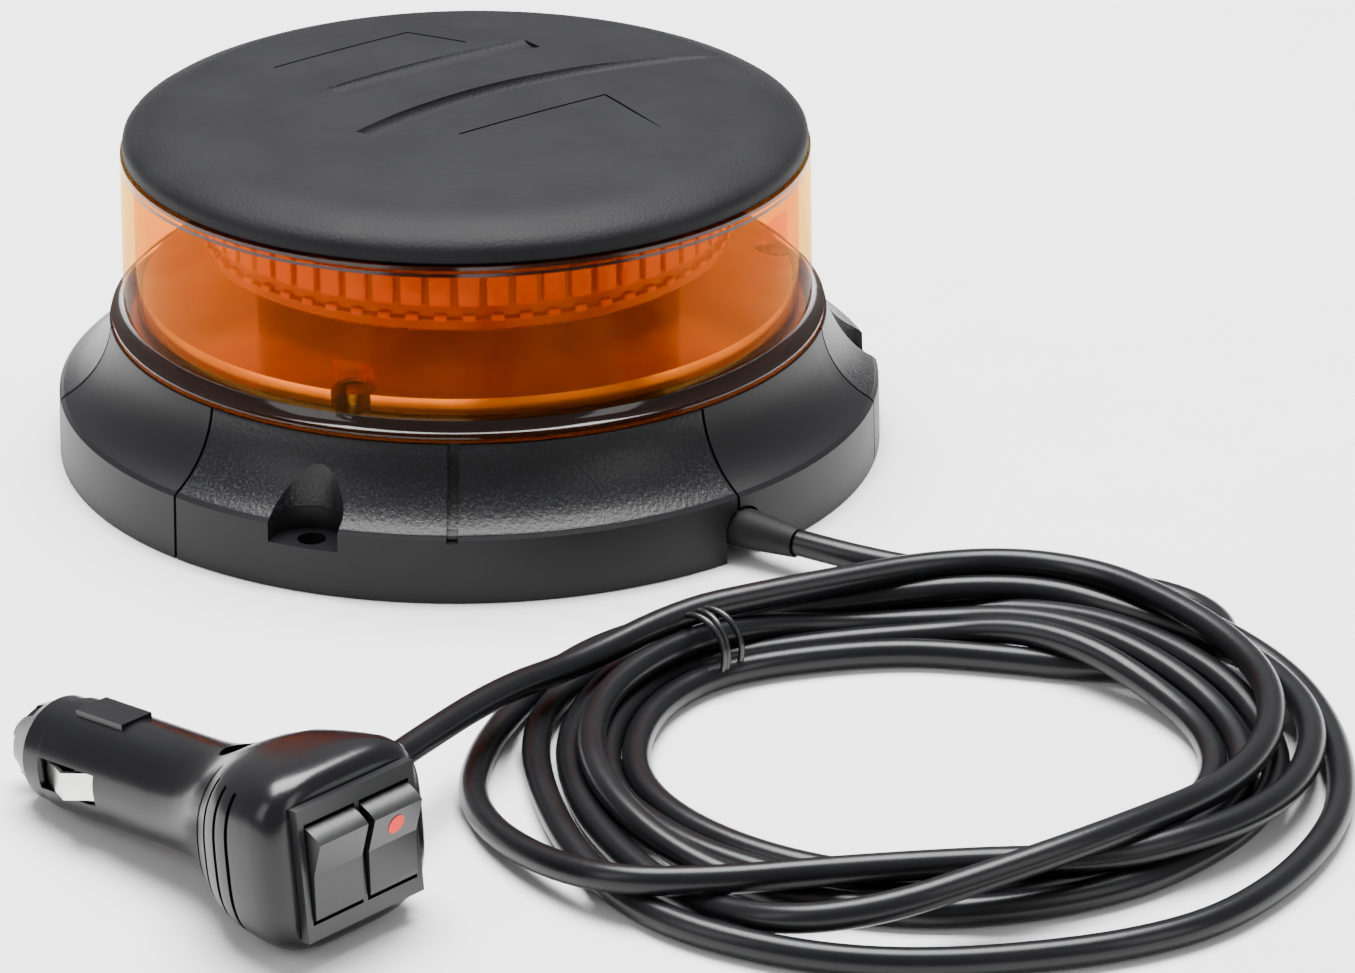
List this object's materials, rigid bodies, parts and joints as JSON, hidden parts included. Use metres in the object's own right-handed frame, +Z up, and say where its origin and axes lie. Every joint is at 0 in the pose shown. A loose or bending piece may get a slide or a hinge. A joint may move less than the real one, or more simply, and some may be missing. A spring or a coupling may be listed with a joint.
{
  "type": "magnetic amber LED warning beacon",
  "caption": "Low round amber LED warning beacon on a magnet and bolt-down base, with a coiled cable and a 12 V lighter plug that has rocker switches.",
  "frame": {"origin": "on the ground, in the middle of the round base", "axes": "+Z up along the beacon's axis; -Y is the front; +X is to the right"},
  "size_m": [0.2375, 0.3155, 0.071],
  "materials": {
    "magnet_skirt": "fine-grained black moulding",
    "magnet_cups": "zinc-plated",
    "magnets": "nickel-plated sintered magnet",
    "magnet_pads": "moulded rubber",
    "magnet_screws": "zinc-plated",
    "carrier_plate": "zinc-plated sheet",
    "carrier_screws": "zinc-plated",
    "cable_clamp": "black nylon",
    "clamp_screws": "zinc-plated",
    "inner_tub": "black moulding",
    "driver_board": "green solder mask",
    "board_screws": "zinc-plated",
    "driver_chips": "epoxy packages",
    "driver_coil": "ferrite and enamelled wire",
    "driver_capacitors": "sleeved cans",
    "inner_cable": "cable sheath",
    "tub_gland": "soft rubber",
    "breather_vent": "porous vent",
    "lamp_leads": "silicone lead",
    "heat_sink": "cast and turned",
    "led_strip": "white solder mask",
    "leds": "phosphor windows",
    "optic_ring": "clear moulded optic",
    "reflector_bell": "vacuum-metallised",
    "centre_post": "turned",
    "post_bolt": "zinc-plated",
    "outer_lens": "amber polycarbonate",
    "lens_screws": "black oxide",
    "lens_gasket": "foam rubber",
    "top_cap": "grained black moulding",
    "cap_screws": "zinc-plated",
    "cap_seal": "soft rubber",
    "exit_sleeve": "soft moulded sleeve",
    "beacon_lead": "cable sheath",
    "cable_coil": "cable sheath",
    "plug_lead": "cable sheath",
    "coil_tie": "coated wire tie",
    "plug_upper_shell": "satin black moulding",
    "plug_lower_shell": "satin black moulding",
    "nose_cap": "black moulding",
    "nose_washer": "fibre washer",
    "tip_pin": "nickel-plated brass",
    "fuse": "glass tube fuse",
    "fuse_sleeve": "natural nylon",
    "pin_spring": "spring steel",
    "rear_terminal": "stamped brass",
    "left_ground_contact": "nickel-plated spring",
    "right_ground_contact": "nickel-plated spring",
    "switch_bezel": "black moulding",
    "pattern_rocker": "satin black rocker",
    "power_rocker": "satin black rocker",
    "indicator_lens": "red window",
    "rocker_pin": "ground pin",
    "switch_bodies": "switch housings",
    "plug_board": "green solder mask",
    "plug_boot": "soft moulded sleeve",
    "shell_screw": "black oxide"
  },
  "bodies": {
    "beacon": {"magnet_skirt": "magnet_skirt", "magnet_cups": "magnet_cups", "magnets": "magnets", "magnet_pads": "magnet_pads", "magnet_screws": "magnet_screws", "carrier_plate": "carrier_plate", "carrier_screws": "carrier_screws", "cable_clamp": "cable_clamp", "clamp_screws": "clamp_screws", "inner_tub": "inner_tub", "driver_board": "driver_board", "board_screws": "board_screws", "driver_chips": "driver_chips", "driver_coil": "driver_coil", "driver_capacitors": "driver_capacitors", "inner_cable": "inner_cable", "tub_gland": "tub_gland", "breather_vent": "breather_vent", "lamp_leads": "lamp_leads", "heat_sink": "heat_sink", "led_strip": "led_strip", "leds": "leds", "optic_ring": "optic_ring", "reflector_bell": "reflector_bell", "centre_post": "centre_post", "post_bolt": "post_bolt", "outer_lens": "outer_lens", "lens_screws": "lens_screws", "lens_gasket": "lens_gasket", "top_cap": "top_cap", "cap_screws": "cap_screws", "cap_seal": "cap_seal", "exit_sleeve": "exit_sleeve", "beacon_lead": "beacon_lead", "cable_coil": "cable_coil", "plug_lead": "plug_lead", "coil_tie": "coil_tie", "plug_upper_shell": "plug_upper_shell", "plug_lower_shell": "plug_lower_shell", "fuse_sleeve": "fuse_sleeve", "pin_spring": "pin_spring", "rear_terminal": "rear_terminal", "switch_bezel": "switch_bezel", "rocker_pin": "rocker_pin", "switch_bodies": "switch_bodies", "plug_board": "plug_board", "plug_boot": "plug_boot", "shell_screw": "shell_screw"},
    "cap_washer": {"nose_washer": "nose_washer"},
    "nose_cap": {"nose_cap": "nose_cap"},
    "centre_contact": {"tip_pin": "tip_pin", "fuse": "fuse"},
    "left_contact": {"left_ground_contact": "left_ground_contact"},
    "right_contact": {"right_ground_contact": "right_ground_contact"},
    "pattern_rocker": {"pattern_rocker": "pattern_rocker"},
    "power_rocker": {"power_rocker": "power_rocker", "indicator_lens": "indicator_lens"}
  },
  "joints": [
    {"name": "nose_cap_travel", "type": "slide", "parent": "beacon", "child": "cap_washer", "axis": [-0.6915, 0.7161, -0.095], "range_m": [0, 0.006]},
    {"name": "nose_cap_turn", "type": "hinge", "parent": "cap_washer", "child": "nose_cap", "pos_m": [-0.07238, -0.15824, 0.00949], "axis": [-0.6915, 0.7161, -0.095], "range_deg": [0, 1440]},
    {"name": "centre_contact_press", "type": "slide", "parent": "cap_washer", "child": "centre_contact", "axis": [0.6915, -0.7161, 0.095], "range_m": [0, 0.003], "stiffness_N_per_m": 700, "springref_m": -0.004, "deforming": ["pin_spring"]},
    {"name": "left_contact_press", "type": "hinge", "parent": "beacon", "child": "left_contact", "pos_m": [-0.06261, -0.17843, 0.01152], "axis": [0.066, -0.0683, -0.9955], "range_deg": [0, 8], "stiffness_Nm_per_rad": 0.6, "springref_deg": -2.86},
    {"name": "right_contact_press", "type": "hinge", "parent": "beacon", "child": "right_contact", "pos_m": [-0.05254, -0.16871, 0.01152], "axis": [-0.066, 0.0683, 0.9955], "range_deg": [0, 8], "stiffness_Nm_per_rad": 0.6, "springref_deg": -2.86},
    {"name": "pattern_rocker_tilt", "type": "hinge", "parent": "beacon", "child": "pattern_rocker", "pos_m": [-0.02559, -0.21547, 0.01652], "axis": [-0.7193, -0.6947, 0], "range_deg": [0, 16], "stiffness_Nm_per_rad": 0.05, "springref_deg": -8.59},
    {"name": "power_rocker_tilt", "type": "hinge", "parent": "beacon", "child": "power_rocker", "pos_m": [-0.01682, -0.207, 0.01652], "axis": [-0.7193, -0.6947, 0], "range_deg": [0, 16]}
  ],
  "couplings": [
    {"joint": "nose_cap_turn", "follows": "nose_cap_travel", "rad_per_m": 4188.8}
  ]
}
